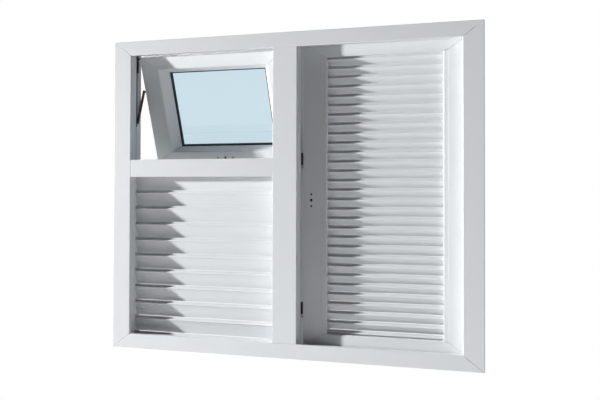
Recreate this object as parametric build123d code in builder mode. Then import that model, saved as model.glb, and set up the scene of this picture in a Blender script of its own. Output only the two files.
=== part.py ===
from build123d import *
from math import cos, radians, sin, sqrt
import os

# Louvred window in white powder-coated aluminium, in one frame with its trims.
# Left bay: a top-hung vent over a fixed louvre. Right bay: a side-hung louvred casement.
# Millimetres. X runs along the width, +Y points outdoors, +Z up.
# The origin is the centre of the sill's underside.

os.makedirs("parts", exist_ok=True)

# Outer frame
box_width = 1412.0
box_height = 1152.0
depth = 104.0
room_y = -depth / 2
outdoor_y = depth / 2
lip_back_y = -6.0
wall = 2.0
jamb_lip = 44.0
jamb_rebate = 30.0
head_lip = 28.0
head_rebate = 10.0
fixing_heights = (200.0, 1000.0)
fixing_radius = 4.0
fixing_y = 23.0
drain_positions = (-560.0, -120.0, 170.0, 560.0)
drain_width = 26.0
drain_height = 4.0

# Trims
trim_thickness = 4.0
trim_overlap_side = 28.0
trim_overlap_head = 24.0
trim_side_width = 76.0
trim_head_width = 55.0
trim_inner_round = 3.6
trim_outer_ease = 1.5

# Mullion and transom, each a wide room-side box on a narrower web
mullion_box = (-51.0, 45.0)
mullion_web = (-11.0, 35.0)
transom_box = (643.0, 711.0)
transom_web = (656.0, 686.0)
face_ease = 1.5

# Weather strips, as rings that lie on the back of the lips round each opening sash
seal_reach = 7.0
seal_setback = 2.0
casement_seal = 5.6
vent_seal = 4.6

# Louvres: pitch, blade count, where the first blade's nose and top edge lie, and the blade's section
small_pitch = 34.52
small_count = 29
small_nose_y = 15.0
small_top_z = 1084.6
small_nose = 3.5
small_lip = 7.0
small_sheet = 1.6
small_run = 28.0
small_drop = 34.2
small_bow = 4.0
small_hem = 1.8
large_pitch = 61.95
large_count = 10
large_nose_y = 5.0
large_top_z = 653.4
large_nose = 3.75
large_lip = 7.5
large_sheet = 1.8
large_run = 26.0
large_drop = 60.5
large_hem = 2.5
drip_width = 1.8
drip_floor = 0.3
upstand_behind_nose = 0.2
side_plate = 4.0
side_plate_behind_lip = 5.0
side_plate_short_of_back = 12.0
carrier_width = 15.0
carrier_depth = 33.0
carrier_ahead_of_nose = 0.5

# Casement sash, hinged on the right; rectangles are left, bottom, right, top
casement_outer = (51.0, 16.0, 670.0, 1136.0)
casement_face = (124.0, 62.8, 597.4, 1089.1)
casement_sight = (142.7, 67.0, 579.0, 1083.0)
casement_depth = 53.0
casement_bead_depth = 14.0
casement_bead_slope = 1.5
bead_front = 2.0
groove_front = 4.0
groove_width = 19.0
groove_depth = 3.0
casement_handle = (83.0, 556.0)
handle_pitch_z = 22.0

# Top-hung vent, drawn in its own face plane with 0 at its top edge
vent_open = 20.0
vent_outer = (-650.0, -438.0, -30.0, 0.0)
vent_face = (-578.0, -393.0, -102.0, -46.0)
vent_sight = (-550.0, -381.0, -130.0, -70.0)
vent_depth = 60.0
vent_bead_flat = 2.5
vent_bead_slope = 38.0
flange_ratio = 0.389
glass_front = 48.0
glass_thickness = 5.0
gasket_front = 44.0
gasket_sight = 5.0
gasket_round_glass = 2.0
glass_inset = 4.0
vent_handle = (-339.5, -418.0)
handle_pitch_x = 32.0
handle_screw_radius = 4.0
handle_spindle_radius = 5.5

# Corner cleats inside the mitres
cleat_leg = 70.0
cleat_wall = 5.0
cleat_play = 1.0
cleat_inner_play = 2.0

# Friction stays: link and sash bar have equal arms, so the sash turns twice as far as the link
stay_arm = 134.5
stay_width = 14.0
bar_length = 225.0
plate = 3.0
shoe_below_top = 5.0
shoe_behind_face = 12.0
stay_foot_z = 862.0
track_depth = 7.0
track_width = 22.0
track_wall = 1.5
track_gap = 13.0
track_foot = 16.0
track_below_head = 1.0
guide_length = 81.0
guide_wall = 1.0
link_layer = 9.0
shoe_height = 20.0
shoe_gap = 0.2
pin_radius = 3.0
pin_stand_out = 1.0
open_elbow_gap = 0.3
running_gap = 0.05

# Hinges on the casement's outdoor side
hinge_x = 673.0
hinge_y = 60.0
hinge_heights = (150.0, 990.0)
hinge_length = 90.0
knuckle_radius = 6.5
knuckle_gap = 0.5
leaf_root = 3.0
frame_leaf = (8.0, 30.0)
sash_leaf = (-37.0, -9.0)

# Lock: roller cams on a sliding bar, each below the mouth of its keeper
keeper_bottoms = (134.0, 687.0)
keeper_height = 44.0
keeper_reach = 12.0
keeper_floor = 4.0
keeper_y = (2.0, 25.0)
keeper_slot_height = 34.0
keeper_slot_width = 9.0
cam_y = 13.5
cam_drop = 9.0
cam_radius = 4.0
cam_length = 10.0
bar_width = 14.4
bar_below = 30.0
bar_above = 60.0
lock_case_width = 40.0
lock_case_height = 140.0
lock_case_depth = 16.0
lock_case_corner = 3.0
lock_case_front = 6.0
lock_case_backset = 5.0
spindle_square = 7.0


def write(sub_part, name):
    """Label a finished sub-part and write it to its own file."""
    sub_part.part.label = name
    export_step(sub_part.part, f"parts/{name}.step")


def write_pair(first, second, name):
    """Write two pieces that lie face to face as one sub-part of two solids."""
    pair = Compound([*first.part.solids(), *second.part.solids()])
    pair.label = name
    export_step(pair, f"parts/{name}.step")


def rectangle_between(left, bottom, right, top, mode=Mode.ADD):
    """A rectangle from its two opposite corners."""
    with Locations(((left + right) / 2, (bottom + top) / 2)):
        Rectangle(right - left, top - bottom, mode=mode)


def chamber(left, bottom, right, top):
    """A rectangle with a chamber inside its walls."""
    rectangle_between(left, bottom, right, top)
    rectangle_between(left + wall, bottom + wall, right - wall, top - wall, mode=Mode.SUBTRACT)


def grown(rectangle, amount):
    """The same rectangle with each side moved out by the amount."""
    left, bottom, right, top = rectangle
    return left - amount, bottom - amount, right + amount, top + amount


# Mitred frames


def member_outline(side, outer, inner):
    """The four corners of one mitred member, in the plane of the frame's face."""
    left, bottom, right, top = outer
    in_left, in_bottom, in_right, in_top = inner
    outlines = {
        "left": [(left, bottom), (in_left, in_bottom), (in_left, in_top), (left, top)],
        "right": [(right, bottom), (in_right, in_bottom), (in_right, in_top), (right, top)],
        "top": [(left, top), (in_left, in_top), (in_right, in_top), (right, top)],
        "bottom": [(left, bottom), (in_left, in_bottom), (in_right, in_bottom), (right, bottom)],
    }
    return outlines[side]


def member_width(side, outer, inner):
    """How far a member reaches inward from the outer rectangle."""
    order = ("left", "bottom", "right", "top")
    index = order.index(side)
    return abs(outer[index] - inner[index])


def mitred_member(side, face, outer, inner, section):
    """Extrude a section along one side of a rectangle and mitre both its ends.

    The section's first axis runs inward from the outer edge, its second axis
    runs from the face into the depth.
    """
    left, bottom, right, top = outer
    runs = {
        "left": ((left, bottom), face.x_dir, top - bottom),
        "right": ((right, top), -face.x_dir, top - bottom),
        "top": ((left, top), -face.y_dir, right - left),
        "bottom": ((right, bottom), face.y_dir, right - left),
    }
    corner, inward, length = runs[side]
    start = face.from_local_coords((*corner, 0))
    with BuildPart() as member:
        with BuildSketch(Plane(start, x_dir=inward, z_dir=inward.cross(-face.z_dir))):
            add(section)
        extrude(amount=length)
        with BuildSketch(face):
            with BuildLine():
                Polyline(*member_outline(side, outer, inner), close=True)
            make_face()
        extrude(amount=2 * depth, both=True, mode=Mode.INTERSECT)
    return member


def trim_section(width):
    """Flat trim, fully rounded along its inner edge and eased along its outer one."""
    with BuildSketch() as section:
        Rectangle(width, trim_thickness, align=Align.MIN)
        front = section.vertices().group_by(Axis.Y)[0].sort_by(Axis.X)
        fillet(front[-1], radius=trim_inner_round)
        fillet(section.vertices().sort_by(Axis.X)[0:2].sort_by(Axis.Y)[0], radius=trim_outer_ease)
    return section.sketch


def sash_section(width, back, flange=0.0, grooved=False):
    """Hollow sash tube, with a glazing flange at its back or a lock groove in its edge."""
    groove_back = groove_front + groove_width
    with BuildSketch() as section:
        chamber(0, 0, width, back)
        if flange:
            rectangle_between(0, back - wall, width + flange, back)
        if grooved:
            rectangle_between(0, groove_front, groove_depth + wall, groove_back)
            rectangle_between(
                0, groove_front + wall, groove_depth, groove_back - wall, mode=Mode.SUBTRACT
            )
    return section.sketch


def bead_section(width, front, back, flat, lean):
    """Glazing bead: a narrow flat, then a slope that leans back towards the opening."""
    with BuildSketch() as section:
        with BuildLine():
            Polyline((0, front), (flat, front), (width, front + lean), (width, back), (0, back), close=True)
        make_face()
    return section.sketch


# Louvre blades


def bowed_line(start, end, bow):
    """A straight line, or a shallow arc where the sheet is curved."""
    if bow:
        return SagittaArc(start, end, -bow)
    return Line(start, end)


def creased_line(start, end, bow):
    """Two straight lines that follow the same bow, for the side of the sheet that nobody sees."""
    middle = (Vector(*start) + Vector(*end)) / 2
    across = (Vector(*end) - Vector(*start)).normalized().rotate(Axis.Z, -90)
    return Polyline(start, middle + across * bow, end)


def hooked_nose(nose, lip, sheet):
    """The front of a blade: upstand, drip groove and half-round nose, as points and an arc.

    The first axis is depth behind the nose, the second is height below the upstand's top.
    Returns where the nose ends underneath and where the upstand's back begins.
    """
    groove_back = 2 * nose + upstand_behind_nose
    groove_front_edge = groove_back - drip_width
    groove_floor = -lip - nose + drip_floor
    nose_top = (nose, -lip)
    underside = (nose, -lip - 2 * nose)
    Polyline(
        (groove_back + sheet, 0),
        (groove_back, 0),
        (groove_back, groove_floor),
        (groove_front_edge, groove_floor),
        (groove_front_edge, -lip),
        nose_top,
    )
    ThreePointArc(nose_top, (0, -lip - nose), underside)
    return underside, groove_back + sheet


def blade_section(nose, lip, run, drop, bow, sheet, hem):
    """One blade: hooked nose in front, sheet falling outdoors, hem along its lower edge."""
    slope = (drop - lip - 2 * nose) / (run - nose)
    rise = sheet * sqrt(1 + slope**2)
    with BuildSketch() as section:
        with BuildLine():
            underside, back_x = hooked_nose(nose, lip, sheet)
            bowed_line(underside, (run, -drop), bow)
            hem_back = (run + sheet, -drop + rise - slope * sheet)
            Polyline((run, -drop), (run, -drop - hem), (run + sheet, -drop - hem), hem_back)
            back_top = (back_x, underside[1] - slope * (back_x - nose) + rise)
            creased_line(hem_back, back_top, -bow)
            Line(back_top, (back_x, 0))
        make_face()
    return section.sketch


def strip_section(nose, lip, leg, sheet):
    """The closing strip below the last blade: the same nose on an upright leg."""
    with BuildSketch() as section:
        with BuildLine():
            underside, back_x = hooked_nose(nose, lip, sheet)
            Polyline(
                underside, (back_x - sheet, underside[1]), (back_x - sheet, -leg), (back_x, -leg), (back_x, 0)
            )
        make_face()
    return section.sketch


# Trims: they lap the wall outside and the frame's lip inside
trim_outer = (
    -box_width / 2 - trim_overlap_side,
    -trim_overlap_head,
    box_width / 2 + trim_overlap_side,
    box_height + trim_overlap_head,
)
trim_inner = (
    trim_outer[0] + trim_side_width,
    trim_outer[1] + trim_head_width,
    trim_outer[2] - trim_side_width,
    trim_outer[3] - trim_head_width,
)
room_face = Plane((0, room_y, 0), x_dir=(1, 0, 0), z_dir=(0, -1, 0))
trim_names = {
    "left": "trim_jamb_left",
    "right": "trim_jamb_right",
    "top": "trim_head",
    "bottom": "trim_sill",
}
for side, name in trim_names.items():
    section = trim_section(member_width(side, trim_outer, trim_inner))
    write(mitred_member(side, room_face, trim_outer, trim_inner, section), name)

# Outer frame: the jambs run through, the head and sill are cut between them
frame_front_y = room_y + trim_thickness
half_box = box_width / 2
for hand, name in ((-1, "frame_jamb_left"), (1, "frame_jamb_right")):
    outside = hand * half_box
    lip_edge = hand * (half_box - jamb_lip)
    web_edge = hand * (half_box - jamb_rebate)
    with BuildPart() as jamb:
        with BuildSketch(Plane.XY):
            tubes = ((lip_edge, frame_front_y, lip_back_y), (web_edge, lip_back_y, outdoor_y))
            for edge, front, back in tubes:
                low, high = sorted((outside, edge))
                chamber(low, front, high, back)
        extrude(amount=box_height)
        # Wall fixings, reached from inside the rebate
        with Locations(Plane((outside, fixing_y, 0), x_dir=(0, hand, 0), z_dir=(hand, 0, 0))):
            with Locations(*[(0, height) for height in fixing_heights]):
                Hole(radius=fixing_radius, depth=jamb_rebate)
    write(jamb, name)

for name, edge_z, inward in (("frame_head", box_height, -1), ("frame_sill", 0, 1)):
    with BuildPart() as rail:
        for reach, inset, front, back in (
            (head_lip, jamb_lip, frame_front_y, lip_back_y),
            (head_rebate, jamb_rebate, lip_back_y, outdoor_y),
        ):
            low, high = sorted((edge_z, edge_z + inward * reach))
            with BuildSketch(Plane.YZ.offset(inset - half_box)):
                chamber(front, low, back, high)
            extrude(amount=box_width - 2 * inset)
        if name == "frame_sill":
            # Drain slots through the outdoor wall
            with BuildSketch(Plane((0, outdoor_y, 0), x_dir=(1, 0, 0), z_dir=(0, -1, 0))):
                with Locations(*[(x, wall + drain_height / 2) for x in drain_positions]):
                    Rectangle(drain_width, drain_height)
            extrude(amount=wall, mode=Mode.SUBTRACT)
    write(rail, name)

# Mullion: a room-side box on a web tube. Its face stops at the trims, the box at the lips
# and the web at the rebates
with BuildPart() as mullion_cover:
    with BuildSketch(Plane.XY.offset(trim_inner[1])):
        rectangle_between(mullion_box[0], room_y, mullion_box[1], frame_front_y)
    extrude(amount=trim_inner[3] - trim_inner[1])
    with BuildSketch(Plane.XY.offset(head_lip)):
        rectangle_between(mullion_box[0], frame_front_y, mullion_box[1], lip_back_y)
        rectangle_between(
            mullion_box[0] + wall, frame_front_y, mullion_box[1] - wall, lip_back_y - wall, mode=Mode.SUBTRACT
        )
    extrude(amount=box_height - 2 * head_lip)
    fillet(mullion_cover.edges().filter_by(Axis.Z).group_by(Axis.Y)[0], radius=face_ease)
with BuildPart() as mullion_tube:
    with BuildSketch(Plane.XY.offset(head_rebate)):
        chamber(mullion_web[0], lip_back_y, mullion_web[1], outdoor_y)
    extrude(amount=box_height - 2 * head_rebate)
write_pair(mullion_cover, mullion_tube, "mullion")

# Transom: the same build on its side, from the left jamb to the mullion
lip_x = jamb_lip - half_box
rebate_x = jamb_rebate - half_box
with BuildPart() as transom_cover:
    with BuildSketch(Plane.YZ.offset(trim_inner[0])):
        rectangle_between(room_y, transom_box[0], frame_front_y, transom_box[1])
    extrude(amount=mullion_box[0] - trim_inner[0])
    with BuildSketch(Plane.YZ.offset(lip_x)):
        rectangle_between(frame_front_y, transom_box[0], lip_back_y, transom_box[1])
        rectangle_between(
            frame_front_y, transom_box[0] + wall, lip_back_y - wall, transom_box[1] - wall, mode=Mode.SUBTRACT
        )
    extrude(amount=mullion_box[0] - lip_x)
    fillet(transom_cover.edges().filter_by(Axis.X).group_by(Axis.Y)[0], radius=face_ease)
with BuildPart() as transom_tube:
    with BuildSketch(Plane.YZ.offset(rebate_x)):
        chamber(lip_back_y, transom_web[0], outdoor_y, transom_web[1])
    extrude(amount=mullion_web[0] - rebate_x)
write_pair(transom_cover, transom_tube, "transom")

# Weather strips on the back of the lips: one ring round each opening sash
gasket_rings = {
    "casement_frame_gasket": ((mullion_box[1], head_lip, -lip_x, box_height - head_lip), casement_seal),
    "vent_frame_gasket": ((lip_x, transom_box[1], mullion_box[0], box_height - head_lip), vent_seal),
}
for name, (aperture, thickness) in gasket_rings.items():
    with BuildPart() as ring:
        with BuildSketch(Plane((0, lip_back_y, 0), x_dir=(1, 0, 0), z_dir=(0, -1, 0))):
            rectangle_between(*grown(aperture, seal_reach))
            rectangle_between(*grown(aperture, seal_setback), mode=Mode.SUBTRACT)
        extrude(amount=-thickness)
    write(ring, name)

# Fixed louvre: ten blades between two side plates, and a closing strip on the sill
blade_left = rebate_x + side_plate
blade_right = mullion_web[0] - side_plate
large_blade = blade_section(large_nose, large_lip, large_run, large_drop, 0, large_sheet, large_hem)
for index in range(large_count):
    top_z = large_top_z - index * large_pitch
    with BuildPart() as blade:
        with BuildSketch(Plane((blade_left, large_nose_y, top_z), x_dir=(0, 1, 0), z_dir=(1, 0, 0))):
            add(large_blade)
        extrude(amount=blade_right - blade_left)
    write(blade, f"fixed_blade_{index + 1:02d}")

with BuildPart() as strip:
    strip_top = large_top_z - large_count * large_pitch
    with BuildSketch(Plane((blade_left, large_nose_y, strip_top), x_dir=(0, 1, 0), z_dir=(1, 0, 0))):
        add(strip_section(large_nose, large_lip, strip_top - head_rebate, large_sheet))
    extrude(amount=blade_right - blade_left)
write(strip, "fixed_louvre_sill_strip")

for name, plate_x in (("fixed_louvre_side_left", rebate_x), ("fixed_louvre_side_right", blade_right)):
    with BuildPart() as side:
        with BuildSketch(Plane.XY.offset(head_rebate)):
            plate_front = lip_back_y + side_plate_behind_lip
            plate_back = outdoor_y - side_plate_short_of_back
            rectangle_between(plate_x, plate_front, plate_x + side_plate, plate_back)
        extrude(amount=transom_web[0] - head_rebate)
    write(side, name)

# Casement sash
casement_plane = Plane((0, 0, 0), x_dir=(1, 0, 0), z_dir=(0, -1, 0))
casement_names = {
    "left": "casement_lock_stile",
    "right": "casement_hinge_stile",
    "top": "casement_top_rail",
    "bottom": "casement_bottom_rail",
}
for side, name in casement_names.items():
    stile = side in ("left", "right")
    width = member_width(side, casement_outer, casement_face)
    section = sash_section(width, casement_depth, grooved=stile)
    member = mitred_member(side, casement_plane, casement_outer, casement_face, section)
    if side == "left":
        with member:
            with Locations(casement_plane):
                with Locations(casement_handle):
                    Hole(radius=handle_spindle_radius, depth=wall)
                    with GridLocations(1, 2 * handle_pitch_z, 1, 2):
                        Hole(radius=handle_screw_radius, depth=wall)
    write(member, name)

# Casement beads
for side in casement_names:
    width = member_width(side, casement_face, casement_sight)
    flat = width - casement_bead_slope
    section = bead_section(width, bead_front, casement_bead_depth, flat, casement_bead_slope)
    bead = mitred_member(side, casement_plane, casement_face, casement_sight, section)
    write(bead, f"casement_bead_{side}")

# Casement louvre: blades fused between two channel-shaped carriers
small_blade = blade_section(
    small_nose, small_lip, small_run, small_drop, small_bow, small_sheet, small_hem
)
panel_left = casement_face[0] + carrier_width
panel_right = casement_face[2] - carrier_width
panel_bottom = casement_face[1]
with BuildPart() as panel:
    with BuildSketch(Plane((panel_left, small_nose_y, small_top_z), x_dir=(0, 1, 0), z_dir=(1, 0, 0))):
        with Locations(*[(0, -index * small_pitch) for index in range(small_count)]):
            add(small_blade)
        strip_drop = small_count * small_pitch
        with Locations((0, -strip_drop)):
            leg = small_top_z - strip_drop - panel_bottom
            add(strip_section(small_nose, small_lip, leg, small_sheet))
    extrude(amount=panel_right - panel_left)
    with BuildSketch(Plane.XY.offset(panel_bottom)):
        front = small_nose_y - carrier_ahead_of_nose
        for outer_x, web_x in ((casement_face[0], panel_left), (casement_face[2], panel_right)):
            hand = 1 if web_x > outer_x else -1
            low, high = sorted((outer_x, web_x))
            rectangle_between(low, front, high, front + carrier_depth)
            low, high = sorted((outer_x, web_x - hand * wall))
            rectangle_between(low, front + wall, high, front + carrier_depth - wall, mode=Mode.SUBTRACT)
    extrude(amount=casement_face[3] - panel_bottom)
write(panel, "casement_louvre")

# Casement lock: gear case inside the stile, bar with two cams in the stile's edge
with BuildPart() as lock_case:
    with BuildSketch(Plane((0, lock_case_front, 0), x_dir=(1, 0, 0), z_dir=(0, -1, 0))):
        with Locations((casement_handle[0] - lock_case_backset, casement_handle[1])):
            RectangleRounded(lock_case_width, lock_case_height, radius=lock_case_corner)
        with Locations(casement_handle):
            Rectangle(spindle_square, spindle_square, rotation=45, mode=Mode.SUBTRACT)
    extrude(amount=-lock_case_depth)
write(lock_case, "casement_lock_case")

bar_front_x = casement_outer[0] + shoe_gap
cam_heights = [bottom - cam_drop for bottom in keeper_bottoms]
with BuildPart() as lock_bar:
    with BuildSketch(Plane.YZ.offset(bar_front_x)):
        bar_bottom = cam_heights[0] - bar_below
        bar_top = cam_heights[1] + bar_above
        rectangle_between(cam_y - bar_width / 2, bar_bottom, cam_y + bar_width / 2, bar_top)
    extrude(amount=groove_depth - 2 * shoe_gap)
with BuildPart() as cams:
    with BuildSketch(Plane((bar_front_x, 0, 0), x_dir=(0, 1, 0), z_dir=(-1, 0, 0))):
        with Locations(*[(cam_y, -height) for height in cam_heights]):
            Circle(cam_radius)
    extrude(amount=cam_length)
write_pair(lock_bar, cams, "casement_lock_bar")

# Keepers on the mullion: each slot takes a cam from below
with BuildPart() as keepers:
    for bottom in keeper_bottoms:
        with BuildSketch(Plane.XY.offset(bottom)):
            rectangle_between(mullion_web[1], keeper_y[0], mullion_web[1] + keeper_reach, keeper_y[1])
        extrude(amount=keeper_height)
        with BuildSketch(Plane.XY.offset(bottom)):
            rectangle_between(
                mullion_web[1] + keeper_floor,
                cam_y - keeper_slot_width / 2,
                mullion_web[1] + keeper_reach,
                cam_y + keeper_slot_width / 2,
            )
        extrude(amount=keeper_slot_height, mode=Mode.SUBTRACT)
write(keepers, "lock_keepers")

# Casement hinges, of the lift-off kind: each sash knuckle stands on a frame knuckle
knuckle_length = (hinge_length - knuckle_gap) / 2
root_back = hinge_y - leaf_root
root_front = root_back - leaf_root


def knuckle_section(root_end):
    """A bored knuckle and the root that joins it to its leaf."""
    with BuildSketch() as section:
        low, high = sorted((hinge_x, hinge_x + root_end))
        rectangle_between(low, root_front, high, root_back)
        with Locations((hinge_x, hinge_y)):
            Circle(knuckle_radius)
            Circle(pin_radius + running_gap, mode=Mode.SUBTRACT)
    return section.sketch


with BuildPart() as frame_leaves:
    for middle in hinge_heights:
        with BuildSketch(Plane.XY.offset(middle - hinge_length / 2)):
            rectangle_between(hinge_x + frame_leaf[0], outdoor_y, hinge_x + frame_leaf[1], outdoor_y + plate)
        extrude(amount=hinge_length)
        with BuildSketch(Plane.XY.offset(middle - hinge_length / 2)):
            add(knuckle_section(frame_leaf[0] + leaf_root))
        extrude(amount=knuckle_length)
write(frame_leaves, "hinge_frame_leaves")

with BuildPart() as sash_leaves:
    for middle in hinge_heights:
        with BuildSketch(Plane.XY.offset(middle - hinge_length / 2)):
            rectangle_between(
                hinge_x + sash_leaf[0], casement_depth, hinge_x + sash_leaf[1], casement_depth + plate
            )
        extrude(amount=hinge_length)
        with BuildSketch(Plane.XY.offset(middle + knuckle_gap / 2)):
            add(knuckle_section(sash_leaf[1] - leaf_root))
        extrude(amount=knuckle_length)
write(sash_leaves, "hinge_sash_leaves")

with BuildPart() as pins:
    for middle in hinge_heights:
        with Locations((hinge_x, hinge_y, middle)):
            Cylinder(pin_radius, hinge_length)
write(pins, "hinge_pins")

# Vent: its face plane at the resting angle, found from the stay's geometry
tilt = radians(vent_open)
stay_y = shoe_behind_face
shoe_z = stay_foot_z + 2 * stay_arm * cos(tilt)
vent_top = (
    0,
    stay_y - shoe_below_top * sin(tilt) - shoe_behind_face * cos(tilt),
    shoe_z + shoe_below_top * cos(tilt) - shoe_behind_face * sin(tilt),
)
vent_plane = Plane(vent_top, x_dir=(1, 0, 0), z_dir=(0, -cos(tilt), -sin(tilt)))
vent_names = {
    "left": "vent_stile_left",
    "right": "vent_stile_right",
    "top": "vent_top_rail",
    "bottom": "vent_bottom_rail",
}
flange_edge = tuple(edge + flange_ratio * (edge - outer) for edge, outer in zip(vent_face, vent_outer))
for side, name in vent_names.items():
    width = member_width(side, vent_outer, vent_face)
    section = sash_section(width, vent_depth, flange=flange_ratio * width)
    member = mitred_member(side, vent_plane, vent_outer, flange_edge, section)
    if side == "bottom":
        with member:
            with Locations(vent_plane):
                with Locations(vent_handle):
                    Hole(radius=handle_spindle_radius, depth=wall)
                    with GridLocations(2 * handle_pitch_x, 1, 2, 1):
                        Hole(radius=handle_screw_radius, depth=wall)
    write(member, name)

# Vent beads, deep and sloping towards the glass
for side in vent_names:
    width = member_width(side, vent_face, vent_sight)
    section = bead_section(width, bead_front, gasket_front, vent_bead_flat, vent_bead_slope)
    write(mitred_member(side, vent_plane, vent_face, vent_sight, section), f"vent_bead_{side}")

# Glass, in a channel gasket between the beads and the flange
glass_edge = grown(vent_face, -glass_inset)
with BuildPart() as glass:
    with BuildSketch(vent_plane.offset(-glass_front)):
        rectangle_between(*glass_edge)
    extrude(amount=-glass_thickness)
write(glass, "vent_glass")

with BuildPart() as glass_gasket:
    with BuildSketch(vent_plane.offset(-gasket_front)):
        rectangle_between(*grown(glass_edge, gasket_round_glass))
        rectangle_between(*grown(vent_sight, -gasket_sight), mode=Mode.SUBTRACT)
    extrude(amount=-(vent_depth - wall - gasket_front))
    with BuildSketch(vent_plane.offset(-glass_front)):
        rectangle_between(*glass_edge)
    extrude(amount=-glass_thickness, mode=Mode.SUBTRACT)
write(glass_gasket, "vent_glass_gasket")

# Corner cleats inside the mitres: an L of two hollow legs in each corner
cleat_sets = {
    "casement_corner_cleats": (
        casement_plane,
        casement_outer,
        casement_face,
        casement_depth,
        groove_depth + wall,
    ),
    "vent_corner_cleats": (vent_plane, vent_outer, vent_face, vent_depth, wall),
}
for name, (face, outer, inner, back, edge_wall) in cleat_sets.items():
    with BuildPart() as cleats:
        for across in (0, 2):
            for along in (1, 3):
                hand_x = 1 if across == 0 else -1
                hand_z = 1 if along == 1 else -1
                near_x = outer[across] + hand_x * (edge_wall + cleat_play)
                near_z = outer[along] + hand_z * (wall + cleat_play)
                far_x = inner[across] - hand_x * (wall + cleat_inner_play)
                far_z = inner[along] - hand_z * (wall + cleat_inner_play)
                leg_x = far_x + hand_x * cleat_leg
                leg_z = far_z + hand_z * cleat_leg
                with BuildSketch(face.offset(-wall - cleat_play)):
                    with BuildLine():
                        Polyline(
                            (near_x, near_z),
                            (leg_x, near_z),
                            (leg_x, far_z),
                            (far_x, far_z),
                            (far_x, leg_z),
                            (near_x, leg_z),
                            close=True,
                        )
                    make_face()
                    offset(amount=-cleat_wall, mode=Mode.SUBTRACT, kind=Kind.INTERSECTION)
                extrude(amount=-(back - 2 * wall - 2 * cleat_play))
    write(cleats, name)

# Friction stays, one each side, in the gap between the sash edge and the rebate
stay_sides = {
    "left": (rebate_x, 1, vent_outer[0]),
    "right": (mullion_web[0], -1, vent_outer[2]),
}
up = Vector(0, -sin(tilt), cos(tilt))
shoe_pivot = Vector(0, stay_y, shoe_z)
foot_pivot = Vector(0, stay_y, stay_foot_z)
elbow = shoe_pivot - up * stay_arm
half_track = track_width / 2
track_top = box_height - head_rebate - track_below_head
with BuildPart() as strips:
    for web_x, hand, _ in stay_sides.values():
        with BuildSketch(Plane.XY.offset(stay_foot_z - track_foot)):
            low, high = sorted((web_x, web_x + hand * track_wall))
            rectangle_between(low, stay_y - half_track, high, stay_y + half_track)
        extrude(amount=track_top - stay_foot_z + track_foot)
with BuildPart() as guides:
    for web_x, hand, _ in stay_sides.values():
        floor_x = web_x + hand * track_wall
        front_x = web_x + hand * track_depth
        inside = half_track - track_wall
        with BuildSketch(Plane.XY.offset(track_top - guide_length)):
            low, high = sorted((floor_x, front_x))
            rectangle_between(low, stay_y - half_track, high, stay_y + half_track)
            low, high = sorted((floor_x + hand * guide_wall, front_x - hand * guide_wall))
            rectangle_between(low, stay_y - inside, high, stay_y + inside, mode=Mode.SUBTRACT)
            low, high = sorted((floor_x + hand * guide_wall, front_x))
            rectangle_between(low, stay_y - track_gap / 2, high, stay_y + track_gap / 2, mode=Mode.SUBTRACT)
        extrude(amount=guide_length)
write_pair(strips, guides, "stay_tracks")


def pivot_plane(x, pivot, hand):
    """A plane across a stay's pins, facing the way that the hand says."""
    return Plane((x, pivot.Y, pivot.Z), x_dir=(0, 1, 0), z_dir=(hand, 0, 0))


for side, (web_x, hand, sash_x) in stay_sides.items():
    floor_x = web_x + hand * track_wall
    layer_x = web_x + hand * link_layer
    bar_x = sash_x - hand * plate
    link_middle = (foot_pivot + elbow) / 2
    elbow_gap = running_gap if side == "left" else open_elbow_gap
    with BuildPart() as link:
        link_place = (layer_x, link_middle.Y, link_middle.Z)
        with BuildSketch(Plane(link_place, x_dir=elbow - foot_pivot, z_dir=(hand, 0, 0))):
            SlotCenterToCenter(stay_arm, stay_width)
            with Locations((stay_arm / 2, 0)):
                Circle(pin_radius + elbow_gap, mode=Mode.SUBTRACT)
        extrude(amount=plate)
        with BuildSketch(pivot_plane(floor_x, foot_pivot, hand)):
            Circle(pin_radius)
        extrude(amount=link_layer - track_wall)
    write(link, f"stay_link_{side}")

    bar_middle = shoe_pivot - up * (bar_length / 2)
    with BuildPart() as sash_bar:
        with BuildSketch(Plane((bar_x, bar_middle.Y, bar_middle.Z), x_dir=-up, z_dir=(hand, 0, 0))):
            SlotCenterToCenter(bar_length, stay_width)
            with Locations((-bar_length / 2, 0)):
                Circle(pin_radius + running_gap, mode=Mode.SUBTRACT)
        extrude(amount=plate)
        with BuildSketch(pivot_plane(bar_x, elbow, -hand)):
            Circle(pin_radius)
        extrude(amount=abs(bar_x - layer_x) + pin_stand_out)
    write(sash_bar, f"stay_sash_bar_{side}")

    shoe_x = floor_x + hand * (guide_wall + shoe_gap)
    with BuildPart() as shoe:
        with BuildSketch(pivot_plane(shoe_x, shoe_pivot, hand)):
            Rectangle(2 * (half_track - track_wall - shoe_gap), shoe_height)
        extrude(amount=track_depth - track_wall - 2 * guide_wall - 2 * shoe_gap)
        with BuildSketch(pivot_plane(shoe_x, shoe_pivot, hand)):
            Circle(pin_radius)
        extrude(amount=abs(bar_x - shoe_x) + plate)
    write(shoe, f"stay_shoe_{side}")
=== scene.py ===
"""Louvred window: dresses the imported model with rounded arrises, blades, screws and finishes."""

from math import cos, pi, radians, sin, sqrt

import bmesh
import bpy
from bpy.props import FloatProperty, FloatVectorProperty, IntProperty, PointerProperty
from mathutils import Matrix, Vector
from mathutils.bvhtree import BVHTree
from mathutils.geometry import area_tri


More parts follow.
